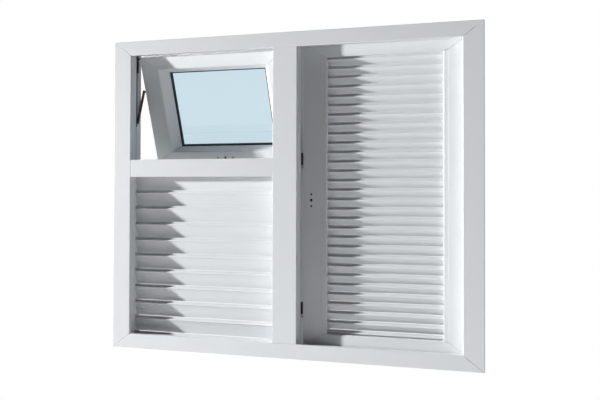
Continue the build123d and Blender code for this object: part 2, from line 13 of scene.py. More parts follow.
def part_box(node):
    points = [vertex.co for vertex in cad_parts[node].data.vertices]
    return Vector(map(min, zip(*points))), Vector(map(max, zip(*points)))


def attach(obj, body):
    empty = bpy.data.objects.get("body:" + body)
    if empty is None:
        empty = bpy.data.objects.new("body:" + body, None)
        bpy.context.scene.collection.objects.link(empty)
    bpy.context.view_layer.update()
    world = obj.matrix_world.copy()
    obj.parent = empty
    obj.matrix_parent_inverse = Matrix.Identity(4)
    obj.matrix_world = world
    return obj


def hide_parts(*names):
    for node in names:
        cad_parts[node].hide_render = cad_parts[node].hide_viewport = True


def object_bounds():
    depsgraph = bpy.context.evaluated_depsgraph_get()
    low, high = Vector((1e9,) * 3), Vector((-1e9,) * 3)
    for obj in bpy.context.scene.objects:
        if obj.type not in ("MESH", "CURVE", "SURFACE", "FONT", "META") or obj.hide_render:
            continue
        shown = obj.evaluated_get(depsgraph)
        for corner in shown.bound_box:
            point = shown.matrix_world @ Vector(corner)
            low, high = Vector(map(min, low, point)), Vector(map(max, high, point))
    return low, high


bl_info = {
    "name": "Louvred Window",
    "version": (1, 0, 0),
    "blender": (4, 5, 0),
    "location": "View3D > Sidebar > Window",
    "description": "Dresses a louvred window unit: coated members, blades, screws, glass and stage",
    "category": "Object",
}

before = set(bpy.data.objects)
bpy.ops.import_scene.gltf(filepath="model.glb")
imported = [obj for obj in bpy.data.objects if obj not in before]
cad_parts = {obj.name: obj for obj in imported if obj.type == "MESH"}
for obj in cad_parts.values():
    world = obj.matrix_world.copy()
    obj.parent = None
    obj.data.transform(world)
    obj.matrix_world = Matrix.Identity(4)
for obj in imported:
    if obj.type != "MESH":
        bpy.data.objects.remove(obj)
cad_low, cad_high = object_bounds()

# Nodes of coated aluminium that get rounded arrises, by the body that they move with
COATED_NODES = {
    "frame": (
        "trim_head",
        "trim_sill",
        "trim_jamb_left",
        "trim_jamb_right",
        "frame_head",
        "frame_sill",
        "frame_jamb_left",
        "frame_jamb_right",
        "mullion",
        "transom",
        "fixed_louvre_side_left",
        "fixed_louvre_side_right",
        "hinge_frame_leaves",
    ),
    "casement": (
        "casement_lock_stile",
        "casement_hinge_stile",
        "casement_top_rail",
        "casement_bottom_rail",
        "casement_bead_left",
        "casement_bead_right",
        "casement_bead_top",
        "casement_bead_bottom",
        "hinge_sash_leaves",
    ),
    "vent": (
        "vent_stile_left",
        "vent_stile_right",
        "vent_top_rail",
        "vent_bottom_rail",
        "vent_bead_left",
        "vent_bead_right",
        "vent_bead_top",
        "vent_bead_bottom",
    ),
}

# Blade noses, in metres: the drip groove's width and floor, and how far back the upstand stands
DRIP_WIDTH = 0.0018
DRIP_FLOOR = 0.0003
UPSTAND_BEHIND_NOSE = 0.0002

# How much of the sheet's thickness is eased off at its corners
EASE_SHARE = 0.3

# Steps round a nose and along a bowed sheet, and the corners that stay crisp on a blade
NOSE_STEPS = 16
BOW_STEPS = 14
BLADE_CREASE = radians(32)

# Points closer than this are one, and faces flatter to each other than this are one
WELD = 1e-6
FLAT_ANGLE = radians(0.5)

# How strongly large faces hold their shading beside a rounded arris
FLATS_WEIGHT = 80

# Slanting ends: how far their normals lean from the member's length, and their least area
MITRE_LEAN = (0.2, 0.97)
MITRE_AREA = 2e-5

# A drilled hole's wall has facets smaller than this
HOLE_FACET_AREA = 3e-6

# Chambers: how far across a tube is, and where a look across it starts
CHAMBER_SPAN = (0.016, 0.12)
CHAMBER_START = 1e-5

# Screw heads: facets, and the top's width and the recess's length and width by the head's radius
SCREW_FACETS = 24
SCREW_TOP = 0.86
RECESS_LENGTH = 1.15
RECESS_WIDTH = 0.24

# Screws along a sash bar, as shares of the way from its top to its foot, and screws on a track
BAR_SCREW_SHARES = (0.22, 0.42, 0.94)
TRACK_SCREWS = 3

# Channels that carry the casement's blades: their wall and how deep they reach in from each side
CARRIER_WALL = 0.002
CARRIER_REACH = 0.015

# Casement blades: the nose behind the louvre's front, and the height of the first upstand
CASEMENT_NOSE_SETBACK = 0.0005
CASEMENT_TOP = 1.0846

# Noise between these two levels is spread over a finish's whole range
NOISE_RANGE = (0.3, 0.7)

# Stage: what the lamps point at, the camera's film, the floor and the shading board
LAMP_AIM = (0, 0, 0.58)
FILM_WIDTH = 36.0
FLOOR_HALF = 12.0
FLAG_REACH = 0.3
WHITE = (1, 1, 1, 1)
FLAG_COLOUR = (0.1, 0.1, 0.1, 1)
FLOOR_COLOUR = (0.8, 0.8, 0.8, 1)
FLOOR_ROUGHNESS = 0.9

# The way that the outdoor side faces
OUTDOORS = (0, 1, 0)

# Finishes of the nodes that keep their own mesh
NODE_FINISHES = {
    "vent_glass": "pane",
    "casement_frame_gasket": "weather strip",
    "vent_frame_gasket": "weather strip",
    "vent_glass_gasket": "weather strip",
    "stay_tracks": "blackened steel",
    "stay_shoe_left": "blackened steel",
    "stay_shoe_right": "blackened steel",
    "stay_link_left": "blackened steel",
    "stay_link_right": "blackened steel",
    "stay_sash_bar_left": "blackened steel",
    "stay_sash_bar_right": "blackened steel",
    "lock_keepers": "blackened steel",
    "casement_lock_bar": "stainless",
    "casement_lock_case": "blackened steel",
    "hinge_pins": "stainless",
    "casement_corner_cleats": "mill aluminium",
    "vent_corner_cleats": "mill aluminium",
}


def distance_setting(label, description, default=0.0):
    """A setting in metres."""
    return FloatProperty(name=label, description=description, subtype="DISTANCE", default=default)


def angle_setting(label, description, default):
    """A setting that is an angle."""
    return FloatProperty(name=label, description=description, subtype="ANGLE", default=default)


def colour_setting(label, description, default):
    """A setting that is a colour."""
    return FloatVectorProperty(name=label, description=description, subtype="COLOR", size=3, default=default)


def place_setting(label, description, default):
    """A setting that is a place, in metres."""
    return FloatVectorProperty(name=label, description=description, subtype="XYZ", size=3, default=default)


class FinishSettings(bpy.types.PropertyGroup):
    """Colours and textures of the window's finishes."""

    coat_colour: colour_setting("Coat", "Powder coat", (0.79, 0.812, 0.83))
    coat_roughness: FloatProperty(
        name="Coat Roughness", description="Sheen of the powder coat", min=0, max=1, default=0.38
    )
    coat_grain: distance_setting("Coat Grain", "Size of the coat's fine ripple", 0.0022)
    rubber_colour: colour_setting("Rubber", "Weather strips", (0.022, 0.023, 0.025))
    pane_colour: colour_setting("Pane", "Tint of one face of the glass", (0.605, 0.755, 0.835))
    steel_colour: colour_setting("Steel", "Stainless steel", (0.56, 0.56, 0.55))
    mill_colour: colour_setting("Mill", "Bare aluminium in chambers and cleats", (0.72, 0.73, 0.74))
    black_colour: colour_setting("Black", "Blackened steel", (0.018, 0.019, 0.02))


class ArrisSettings(bpy.types.PropertyGroup):
    """How far the corners of the coated members are rounded, and how wide their mitres stand open."""

    width: distance_setting("Width", "Width of the rounding", 0.0006)
    segments: IntProperty(name="Segments", description="Steps across the rounding", min=1, default=2)
    angle: angle_setting("Angle", "Edges sharper than this are rounded", radians(35))
    mitre_gap: distance_setting("Mitre Gap", "Fine joint between mitred members", 0.0009)


class BladeSettings(bpy.types.PropertyGroup):
    """One louvre: its blades' section and how they stack."""

    pitch: distance_setting("Pitch", "Blade to blade", 0.0345)
    count: IntProperty(name="Count", description="Blades in the stack", min=1, default=29)
    nose_y: distance_setting("Nose", "Depth of the noses")
    top_z: distance_setting("Top", "Height of the first upstand")
    start_x: distance_setting("Start", "Left end of the blades")
    length: distance_setting("Length", "Length of the blades", 0.4)
    nose: distance_setting("Nose Radius", "Radius of the nose", 0.0035)
    lip: distance_setting("Lip", "Upstand above the nose", 0.007)
    run: distance_setting("Run", "Depth of the sheet", 0.028)
    drop: distance_setting("Drop", "Height of the sheet", 0.0342)
    bow: distance_setting("Bow", "Bulge of the sheet", 0.004)
    sheet: distance_setting("Sheet", "Sheet thickness", 0.0016)
    hem: distance_setting("Hem", "Upright lower edge", 0.0018)


class ScrewSettings(bpy.types.PropertyGroup):
    """Screw heads and where they stand on the hardware."""

    radius: distance_setting("Radius", "Radius of a head", 0.0034)
    rise: distance_setting("Rise", "Height of a head's edge", 0.0009)
    hinge_half: distance_setting("Hinge Half", "Half a hinge's length", 0.045)
    hinge_pitch: distance_setting("Hinge Pitch", "Between a leaf's screws", 0.03)
    hinge_leaf: distance_setting("Hinge Leaf", "Thickness of a leaf", 0.003)
    track_first: distance_setting("Track First", "First screw above the track's foot", 0.045)
    track_pitch: distance_setting("Track Pitch", "Between a track's screws", 0.075)
    track_wall: distance_setting("Track Wall", "Thickness of a track", 0.0015)
    bar_plate: distance_setting("Bar Plate", "Thickness of a sash bar", 0.003)
    bar_half_width: distance_setting("Bar Half Width", "Half a sash bar's width", 0.007)
    keeper_top: distance_setting("Keeper Top", "Screw below a keeper's top", 0.005)
    keeper_height: distance_setting("Keeper Height", "Height of a keeper", 0.044)
    corner_depth: distance_setting("Corner Depth", "Corner screws behind the jamb's front", 0.014)
    corner_height: distance_setting("Corner Height", "Corner screws from the jamb's ends", 0.014)


class StageSettings(bpy.types.PropertyGroup):
    """Camera, lamps, floor, surround and shading board."""

    camera_place: place_setting("Camera", "Where the camera stands", (1.3767, -3.34, 0.5868))
    camera_yaw: angle_setting("Yaw", "Turn to the left", radians(21.84))
    camera_pitch: angle_setting("Pitch", "Tilt upward", radians(1.287))
    camera_roll: angle_setting("Roll", "Turn about the view", radians(0.161))
    camera_lens: FloatProperty(name="Lens", description="Focal length in millimetres", default=58.2)
    camera_shift: FloatProperty(name="Shift", description="Vertical shift", default=-0.05)
    floor_drop: distance_setting("Floor Drop", "How far the floor lies below the unit", 0.55)
    key_place: place_setting("Key Lamp", "Raking lamp on the left", (-3.4, -1.17, 0.95))
    key_power: FloatProperty(name="Key Power", description="Watts, the same at any distance", default=18.5)
    key_size: distance_setting("Key Size", "Width of the lamp", 0.12)
    back_place: place_setting("Back Lamp", "Broad lamp behind the unit", (-1.8, 3.2, 1.9))
    back_power: FloatProperty(name="Back Power", description="Watts, the same at any distance", default=7.0)
    back_size: distance_setting("Back Size", "Width of the lamp", 1.8)
    room_colour: colour_setting("Room Colour", "Even light", (0.93, 0.98, 1.0))
    room_light: FloatProperty(name="Room Light", description="Even light from all round", default=0.05)
    room_gloss: FloatProperty(name="Room Gloss", description="Brightness in reflections", default=0.16)
    flag_width: distance_setting("Flag Width", "Board beside the unit that keeps the key off its back", 1.6)


# Finishes


def new_material(name):
    """A new node material and its Principled shader."""
    material = bpy.data.materials.new(name)
    material.use_nodes = True
    shader = material.node_tree.nodes["Principled BSDF"]
    return material, shader


def node(tree, kind, **values):
    """A node with its properties and its inputs set by name."""
    made = tree.nodes.new(kind)
    for key, value in values.items():
        if hasattr(made, key):
            setattr(made, key, value)
        else:
            made.inputs[key.replace("_", " ")].default_value = value
    return made


def object_noise(tree, scale, detail=2.0, stretch=(1, 1, 1)):
    """Noise in object coordinates, scaled in features per metre."""
    coordinates = tree.nodes.new("ShaderNodeTexCoord")
    mapping = node(tree, "ShaderNodeMapping", Scale=stretch)
    noise = node(tree, "ShaderNodeTexNoise", Scale=scale, Detail=detail)
    tree.links.new(coordinates.outputs["Object"], mapping.inputs["Vector"])
    tree.links.new(mapping.outputs["Vector"], noise.inputs["Vector"])
    return noise.outputs["Fac"]


def graded(tree, factor, low, high):
    """A factor spread between two values."""
    spread = node(tree, "ShaderNodeMapRange", clamp=True)
    spread.inputs["From Min"].default_value = NOISE_RANGE[0]
    spread.inputs["From Max"].default_value = NOISE_RANGE[1]
    spread.inputs["To Min"].default_value = low
    spread.inputs["To Max"].default_value = high
    tree.links.new(factor, spread.inputs["Value"])
    return spread.outputs["Result"]


def tinted(tree, factor, colour, dip):
    """A colour that dips in brightness where the factor is low."""
    mix = node(tree, "ShaderNodeMix", data_type="RGBA")
    for socket in mix.inputs:
        if socket.name == "A" and socket.type == "RGBA":
            socket.default_value = (*[channel * (1 - dip) for channel in colour], 1)
        if socket.name == "B" and socket.type == "RGBA":
            socket.default_value = (*colour, 1)
        if socket.name == "Factor" and socket.type == "VALUE":
            tree.links.new(factor, socket)
    return next(socket for socket in mix.outputs if socket.type == "RGBA")


def rippled(tree, shader, height, strength, distance):
    """Bump the shader by a height."""
    bump = node(tree, "ShaderNodeBump", Strength=strength, Distance=distance)
    tree.links.new(height, bump.inputs["Height"])
    tree.links.new(bump.outputs["Normal"], shader.inputs["Normal"])


def powder_coat(settings):
    """White powder coat: faint mottle, slightly uneven sheen and the fine ripple of cured powder."""
    material, shader = new_material("white powder coat")
    tree = material.node_tree
    mottle = object_noise(tree, scale=9.0, detail=3.0)
    tree.links.new(tinted(tree, mottle, settings.coat_colour, dip=0.02), shader.inputs["Base Color"])
    base = settings.coat_roughness
    sheen = graded(tree, object_noise(tree, scale=38.0), low=base - 0.04, high=base + 0.05)
    tree.links.new(sheen, shader.inputs["Roughness"])
    shader.inputs["Specular IOR Level"].default_value = 0.45
    ripple = object_noise(tree, scale=1 / settings.coat_grain, detail=1.0)
    rippled(tree, shader, ripple, strength=0.06, distance=0.0004)
    return material


def weather_strip(settings):
    """Black rubber: matt, with a faint bloom and a fine grain."""
    material, shader = new_material("weather strip")
    tree = material.node_tree
    bloom = object_noise(tree, scale=60.0, detail=4.0)
    tree.links.new(tinted(tree, bloom, settings.rubber_colour, dip=0.3), shader.inputs["Base Color"])
    tree.links.new(graded(tree, bloom, low=0.55, high=0.75), shader.inputs["Roughness"])
    rippled(tree, shader, object_noise(tree, scale=900.0), strength=0.15, distance=0.0003)
    return material


def pane(settings):
    """Clear float glass with a light blue tint and a faint roller wave."""
    material, shader = new_material("pane")
    tree = material.node_tree
    shader.inputs["Base Color"].default_value = (*settings.pane_colour, 1)
    shader.inputs["Roughness"].default_value = 0.0
    shader.inputs["IOR"].default_value = 1.5
    shader.inputs["Transmission Weight"].default_value = 1.0
    rippled(tree, shader, object_noise(tree, scale=5.0, detail=0.0), strength=0.02, distance=0.0005)
    return material


def brushed_metal(name, colour, roughness, stretch):
    """Rolled or brushed metal with fine lines along one direction."""
    material, shader = new_material(name)
    tree = material.node_tree
    lines = object_noise(tree, scale=420.0, detail=3.0, stretch=stretch)
    tree.links.new(tinted(tree, lines, colour, dip=0.18), shader.inputs["Base Color"])
    shader.inputs["Metallic"].default_value = 1.0
    sheen = graded(tree, lines, low=roughness - 0.06, high=roughness + 0.08)
    tree.links.new(sheen, shader.inputs["Roughness"])
    rippled(tree, shader, lines, strength=0.08, distance=0.0002)
    return material


def blackened_steel(settings):
    """Steel with a black satin passivated coat."""
    material, shader = new_material("blackened steel")
    tree = material.node_tree
    cloud = object_noise(tree, scale=120.0, detail=4.0)
    tree.links.new(tinted(tree, cloud, settings.black_colour, dip=0.35), shader.inputs["Base Color"])
    tree.links.new(graded(tree, cloud, low=0.32, high=0.48), shader.inputs["Roughness"])
    rippled(tree, shader, object_noise(tree, scale=700.0), strength=0.1, distance=0.0002)
    return material


def stainless(settings):
    """Stainless steel, brushed along its height."""
    return brushed_metal("stainless", settings.steel_colour, roughness=0.3, stretch=(1, 1, 0.03))


def mill_aluminium(settings):
    """Bare aluminium with the lines of the die, as in the members' chambers."""
    return brushed_metal("mill aluminium", settings.mill_colour, roughness=0.35, stretch=(0.03, 1, 0.03))


FINISHES = {
    "white powder coat": powder_coat,
    "weather strip": weather_strip,
    "pane": pane,
    "stainless": stainless,
    "mill aluminium": mill_aluminium,
    "blackened steel": blackened_steel,
}


def finish_named(name):
    """The material of that name, made when it is first asked for."""
    if name in bpy.data.materials:
        return bpy.data.materials[name]
    return FINISHES[name](bpy.context.scene.window_finishes)


# Shapes


def link_object(name, mesh):
    """A new object at the origin with that mesh."""
    made = bpy.data.objects.new(name, mesh)
    bpy.context.scene.collection.objects.link(made)
    return made


def baked(source, name):
    """The object's evaluated mesh as a new plain object; the source is removed."""
    graph = bpy.context.evaluated_depsgraph_get()
    mesh = bpy.data.meshes.new_from_object(source.evaluated_get(graph))
    mesh.name = name
    bpy.data.objects.remove(source)
    return link_object(name, mesh)


def open_mitres(grid, setback):
    """Draw a member's slanting ends back along its length, so that its mitres show as fine joints."""
    longest = max(grid.edges, key=lambda edge: edge.calc_length())
    along = (longest.verts[1].co - longest.verts[0].co).normalized()
    shifts = {}
    for face in grid.faces:
        lean = face.normal.dot(along)
        slanting = MITRE_LEAN[0] < abs(lean) < MITRE_LEAN[1]
        if slanting and face.calc_area() > MITRE_AREA:
            for vertex in face.verts:
                shifts[vertex] = along * (-setback / lean)
    for vertex, shift in shifts.items():
        vertex.co += shift


def bare_chambers(grid):
    """Give the faces inside a tube the second material: they look at their own tube across its chamber."""
    tree = BVHTree.FromBMesh(grid)
    widest = {}
    for loops in grid.calc_loop_triangles():
        corners = [loop.vert.co for loop in loops]
        area = area_tri(*corners)
        face = loops[0].face
        if area > widest.get(face, (0, None))[0]:
            widest[face] = (area, sum(corners, Vector()) / 3)
    for face, (_, centre) in widest.items():
        hit = tree.ray_cast(centre + face.normal * CHAMBER_START, face.normal)
        across = hit[3]
        face.material_index = int(across is not None and CHAMBER_SPAN[0] < across < CHAMBER_SPAN[1])


def mark_arrises(grid, angle):
    """Mark the sharp edges that get rounded: all but the rims of the small drilled holes."""
    weight = grid.edges.layers.float.new("bevel_weight_edge")
    for edge in grid.edges:
        if len(edge.link_faces) == 2 and edge.calc_face_angle() > angle:
            rim = min(face.calc_area() for face in edge.link_faces) < HOLE_FACET_AREA
            edge[weight] = 0.0 if rim else 1.0


def coated_member(node_name, body, arris):
    """A copy of a CAD node with its arrises rounded, standing for the node."""
    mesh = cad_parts[node_name].data.copy()
    grid = bmesh.new()
    grid.from_mesh(mesh)
    bmesh.ops.remove_doubles(grid, verts=grid.verts, dist=WELD)
    bmesh.ops.dissolve_limit(grid, angle_limit=FLAT_ANGLE, verts=grid.verts, edges=grid.edges)
    grid.normal_update()
    bare_chambers(grid)
    open_mitres(grid, arris.mitre_gap / 2)
    mark_arrises(grid, arris.angle)
    mesh.materials.clear()
    mesh.materials.append(finish_named("white powder coat"))
    mesh.materials.append(finish_named("mill aluminium"))
    grid.to_mesh(mesh)
    grid.free()
    for attribute in [item for item in mesh.attributes if item.name == "custom_normal"]:
        mesh.attributes.remove(attribute)
    rough = link_object(node_name + ".rough", mesh)
    bevel = rough.modifiers.new("arris", "BEVEL")
    bevel.width = arris.width
    bevel.segments = arris.segments
    bevel.limit_method = "WEIGHT"
    bevel.use_clamp_overlap = False
    rough.data.shade_smooth()
    weighted = rough.modifiers.new("flats", "WEIGHTED_NORMAL")
    weighted.weight = FLATS_WEIGHT
    piece = baked(rough, node_name + ".coated")
    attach(piece, body)
    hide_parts(node_name)


def bowed_points(start, end, bow, steps):
    """Points from start to end along a shallow bow, leaving the start out."""
    (start_y, start_z), (end_y, end_z) = start, end
    chord = sqrt((end_y - start_y) ** 2 + (end_z - start_z) ** 2)
    normal_y, normal_z = (end_z - start_z) / chord, -(end_y - start_y) / chord
    points = []
    for step in range(1, steps + 1):
        along = step / steps
        bulge = 4 * bow * along * (1 - along)
        points.append(
            (
                start_y + (end_y - start_y) * along + normal_y * bulge,
                start_z + (end_z - start_z) * along + normal_z * bulge,
            )
        )
    return points


def nose_points(nose, lip, sheet):
    """Upstand, drip groove and half-round nose, from the upstand's back to the nose's underside."""
    groove_right = 2 * nose + UPSTAND_BEHIND_NOSE
    groove_left = groove_right - DRIP_WIDTH
    floor_z = -lip - nose + DRIP_FLOOR
    ease = sheet * EASE_SHARE
    points = [
        (groove_right + sheet, -ease),
        (groove_right + sheet - ease, 0),
        (groove_right + ease, 0),
        (groove_right, -ease),
        (groove_right, floor_z + ease),
        (groove_right - ease, floor_z),
        (groove_left + ease, floor_z),
        (groove_left, floor_z + ease),
        (groove_left, -lip - ease),
        (groove_left - ease, -lip),
    ]
    for step in range(NOSE_STEPS + 1):
        angle = pi / 2 + pi * step / NOSE_STEPS
        points.append((nose + nose * cos(angle), -lip - nose + nose * sin(angle)))
    return points


def blade_points(blade):
    """The outline of one blade, depth and height from its nose and upstand."""
    nose, lip, run, drop, sheet = blade.nose, blade.lip, blade.run, blade.drop, blade.sheet
    points = nose_points(nose, lip, sheet)
    underside = points[-1]
    steps = BOW_STEPS if blade.bow else 1
    slope = (drop - lip - 2 * nose) / (run - nose)
    rise = sheet * sqrt(1 + slope * slope)
    back_x = 2 * nose + UPSTAND_BEHIND_NOSE + sheet
    back_tip = (run + sheet, -drop + rise - slope * sheet)
    back_top = (back_x, underside[1] - slope * (back_x - nose) + rise)
    ease = sheet * EASE_SHARE
    points += bowed_points(underside, (run, -drop), blade.bow, steps)
    points += [
        (run, -drop - blade.hem + ease),
        (run + ease, -drop - blade.hem),
        (run + sheet - ease, -drop - blade.hem),
        (run + sheet, -drop - blade.hem + ease),
        back_tip,
    ]
    points += bowed_points(back_tip, back_top, -blade.bow, steps)
    return points


def strip_points(blade, leg):
    """The closing strip's outline: the blade's nose on an upright leg."""
    points = nose_points(blade.nose, blade.lip, blade.sheet)
    front_x = 2 * blade.nose + UPSTAND_BEHIND_NOSE
    points += [(front_x, points[-1][1]), (front_x, -leg), (front_x + blade.sheet, -leg)]
    return points


def outline_face(name, points, place):
    """One flat face across the run of a section, in the plane X = place.x."""
    mesh = bpy.data.meshes.new(name)
    vertices = [(place[0], place[1] + depth, place[2] + height) for depth, height in points]
    mesh.from_pydata(vertices, [], [list(range(len(vertices)))])
    return link_object(name, mesh)


def geometry_tree(name, inputs):
    """A geometry tree with those named inputs beside the geometry that goes in and comes out."""
    tree = bpy.data.node_groups.new(name, "GeometryNodeTree")
    tree.interface.new_socket(name="Geometry", in_out="INPUT", socket_type="NodeSocketGeometry")
    for label, kind in inputs.items():
        tree.interface.new_socket(name=label, in_out="INPUT", socket_type="NodeSocket" + kind)
    tree.interface.new_socket(name="Geometry", in_out="OUTPUT", socket_type="NodeSocketGeometry")
    return tree


def multiplied(tree, share):
    """A node that multiplies its first input by a fixed share."""
    times = node(tree, "ShaderNodeMath", operation="MULTIPLY")
    times.inputs[1].default_value = share
    return times


def wire(tree, *wires):
    """Link nodes: each wire is a node, its output, the next node and that one's input."""
    for source, output, target, socket in wires:
        tree.links.new(source.outputs[output], target.inputs[socket])


def slat_stack_tree():
    """A tree that draws a section out along X and repeats it downward."""
    if "slat stack" in bpy.data.node_groups:
        return bpy.data.node_groups["slat stack"]
    tree = geometry_tree(
        "slat stack",
        {"Length": "Float", "Pitch": "Float", "Count": "Int", "Sharp Angle": "Float", "Finish": "Material"},
    )
    given = node(tree, "NodeGroupInput")
    draw_out = node(tree, "ShaderNodeCombineXYZ")
    extrude = node(tree, "GeometryNodeExtrudeMesh", Individual=False)
    flip = node(tree, "GeometryNodeFlipFaces")
    join = node(tree, "GeometryNodeJoinGeometry")
    weld = node(tree, "GeometryNodeMergeByDistance", Distance=WELD)
    step_down = node(tree, "ShaderNodeCombineXYZ")
    negate = multiplied(tree, -1.0)
    row = node(tree, "GeometryNodeMeshLine")
    copies = node(tree, "GeometryNodeInstanceOnPoints")
    realize = node(tree, "GeometryNodeRealizeInstances")
    angle = node(tree, "GeometryNodeInputMeshEdgeAngle")
    compare = node(tree, "FunctionNodeCompare", data_type="FLOAT", operation="LESS_THAN")
    smooth_faces = node(tree, "GeometryNodeSetShadeSmooth")
    smooth_edges = node(tree, "GeometryNodeSetShadeSmooth", domain="EDGE")
    finish = node(tree, "GeometryNodeSetMaterial")
    output = node(tree, "NodeGroupOutput")
    wire(
        tree,
        (given, "Length", draw_out, "X"),
        (given, "Geometry", extrude, "Mesh"),
        (draw_out, "Vector", extrude, "Offset"),
        (given, "Geometry", flip, "Mesh"),
        (extrude, "Mesh", join, "Geometry"),
        (flip, "Mesh", join, "Geometry"),
        (join, "Geometry", weld, "Geometry"),
        (given, "Pitch", negate, 0),
        (negate, "Value", step_down, "Z"),
        (given, "Count", row, "Count"),
        (step_down, "Vector", row, "Offset"),
        (row, "Mesh", copies, "Points"),
        (weld, "Geometry", copies, "Instance"),
        (copies, "Instances", realize, "Geometry"),
        (angle, "Unsigned Angle", compare, "A"),
        (given, "Sharp Angle", compare, "B"),
        (realize, "Geometry", smooth_faces, "Geometry"),
        (smooth_faces, "Geometry", smooth_edges, "Geometry"),
        (compare, "Result", smooth_edges, "Shade Smooth"),
        (smooth_edges, "Geometry", finish, "Geometry"),
        (given, "Finish", finish, "Material"),
        (finish, "Geometry", output, "Geometry"),
    )
    return tree


def set_input(modifier, name, value):
    """Set a geometry modifier's input, found by its name, through its identifier."""
    for item in modifier.node_group.interface.items_tree:
        if item.item_type == "SOCKET" and item.in_out == "INPUT" and item.name == name:
            modifier[item.identifier] = value


def slat_stack(name, points, place, length, pitch=0.0, count=1):
    """Repeat a section's extrusion downward and bake it to a plain mesh."""
    seed = outline_face(name + ".outline", points, place)
    stack = seed.modifiers.new("stack", "NODES")
    stack.node_group = slat_stack_tree()
    set_input(stack, "Length", length)
    set_input(stack, "Pitch", pitch)
    set_input(stack, "Count", count)
    set_input(stack, "Sharp Angle", BLADE_CREASE)
    set_input(stack, "Finish", finish_named("white powder coat"))
    return baked(seed, name)


def blades_and_strip(blade, foot_z, blades_name, strip_name):
    """One louvre's blades, and below them the closing strip, whose leg reaches down to a height."""
    place = (blade.start_x, blade.nose_y, blade.top_z)
    blades = slat_stack(blades_name, blade_points(blade), place, blade.length, blade.pitch, blade.count)
    strip_z = blade.top_z - blade.count * blade.pitch
    place = (blade.start_x, blade.nose_y, strip_z)
    strip = slat_stack(strip_name, strip_points(blade, strip_z - foot_z), place, blade.length)
    return blades, strip


def facing_outward(piece):
    """Turn a closed mesh's faces outward."""
    grid = bmesh.new()
    grid.from_mesh(piece.data)
    bmesh.ops.recalc_face_normals(grid, faces=grid.faces)
    grid.to_mesh(piece.data)
    grid.free()


def screw_tree():
    """A tree that sets one low tapered screw head, with a cross recess, on every point."""
    if "screw heads" in bpy.data.node_groups:
        return bpy.data.node_groups["screw heads"]
    tree = geometry_tree(
        "screw heads", {"Radius": "Float", "Rise": "Float", "Facing": "Vector", "Finish": "Material"}
    )
    given = node(tree, "NodeGroupInput")
    head = node(tree, "GeometryNodeMeshCone", Vertices=SCREW_FACETS)
    rim = multiplied(tree, SCREW_TOP)
    slot_long = multiplied(tree, RECESS_LENGTH)
    slot_wide = multiplied(tree, RECESS_WIDTH)
    slot_size = node(tree, "ShaderNodeCombineXYZ")
    cross_size = node(tree, "ShaderNodeCombineXYZ")
    slot = node(tree, "GeometryNodeMeshCube")
    cross = node(tree, "GeometryNodeMeshCube")
    raise_cut = node(tree, "ShaderNodeCombineXYZ")
    cutter = node(tree, "GeometryNodeJoinGeometry")
    lifted = node(tree, "GeometryNodeTransform")
    recess = node(tree, "GeometryNodeMeshBoolean", operation="DIFFERENCE")
    turn = node(tree, "FunctionNodeAlignRotationToVector", axis="Z")
    copies = node(tree, "GeometryNodeInstanceOnPoints")
    realize = node(tree, "GeometryNodeRealizeInstances")
    flat = node(tree, "GeometryNodeSetShadeSmooth", Shade_Smooth=False)
    finish = node(tree, "GeometryNodeSetMaterial")
    output = node(tree, "NodeGroupOutput")
    wire(
        tree,
        (given, "Radius", rim, 0),
        (given, "Radius", slot_long, 0),
        (given, "Radius", slot_wide, 0),
        (given, "Radius", head, "Radius Bottom"),
        (rim, "Value", head, "Radius Top"),
        (given, "Rise", head, "Depth"),
        (slot_long, "Value", slot_size, "X"),
        (slot_wide, "Value", slot_size, "Y"),
        (given, "Rise", slot_size, "Z"),
        (slot_wide, "Value", cross_size, "X"),
        (slot_long, "Value", cross_size, "Y"),
        (given, "Rise", cross_size, "Z"),
        (slot_size, "Vector", slot, "Size"),
        (cross_size, "Vector", cross, "Size"),
        (given, "Rise", raise_cut, "Z"),
        (raise_cut, "Vector", lifted, "Translation"),
        (cross, "Mesh", cutter, "Geometry"),
        (slot, "Mesh", cutter, "Geometry"),
        (cutter, "Geometry", lifted, "Geometry"),
        (head, "Mesh", recess, 0),
        (lifted, "Geometry", recess, 1),
        (given, "Facing", turn, "Vector"),
        (given, "Geometry", copies, "Points"),
        (recess, "Mesh", copies, "Instance"),
        (turn, "Rotation", copies, "Rotation"),
        (copies, "Instances", realize, "Geometry"),
        (realize, "Geometry", flat, "Geometry"),
        (flat, "Geometry", finish, "Geometry"),
        (given, "Finish", finish, "Material"),
        (finish, "Geometry", output, "Geometry"),
    )
    return tree


def screw_heads(name, places, facing, radius, rise, finish):
    """Screw heads on these points, all facing one way, as a plain mesh."""
    mesh = bpy.data.meshes.new(name + ".places")
    mesh.from_pydata(places, [], [])
    seed = link_object(name + ".places", mesh)
    heads = seed.modifiers.new("heads", "NODES")
    heads.node_group = screw_tree()
    set_input(heads, "Radius", radius)
    set_input(heads, "Rise", rise)
    set_input(heads, "Facing", facing)
    set_input(heads, "Finish", finish_named(finish))
    return baked(seed, name)


def joined(name, pieces):
    """Join plain meshes into one object at the origin."""
    grid = bmesh.new()
    materials = []
    for piece in pieces:
        for material in piece.data.materials:
            if material not in materials:
                materials.append(material)
        grid.from_mesh(piece.data)
    mesh = bpy.data.meshes.new(name)
    grid.to_mesh(mesh)
    grid.free()
    for material in materials:
        mesh.materials.append(material)
    for piece in pieces:
        bpy.data.objects.remove(piece)
    return link_object(name, mesh)


# Operators


class WINDOW_OT_members(bpy.types.Operator):
    """Round the arrises of the trims, frame, mullion, transom, sashes, beads and hinge leaves"""

    bl_idname = "window.members"
    bl_label = "Coated Members"

    def execute(self, context):
        arris = context.scene.window_arris
        for body, names in COATED_NODES.items():
            for name in names:
                coated_member(name, body, arris)
        return {"FINISHED"}


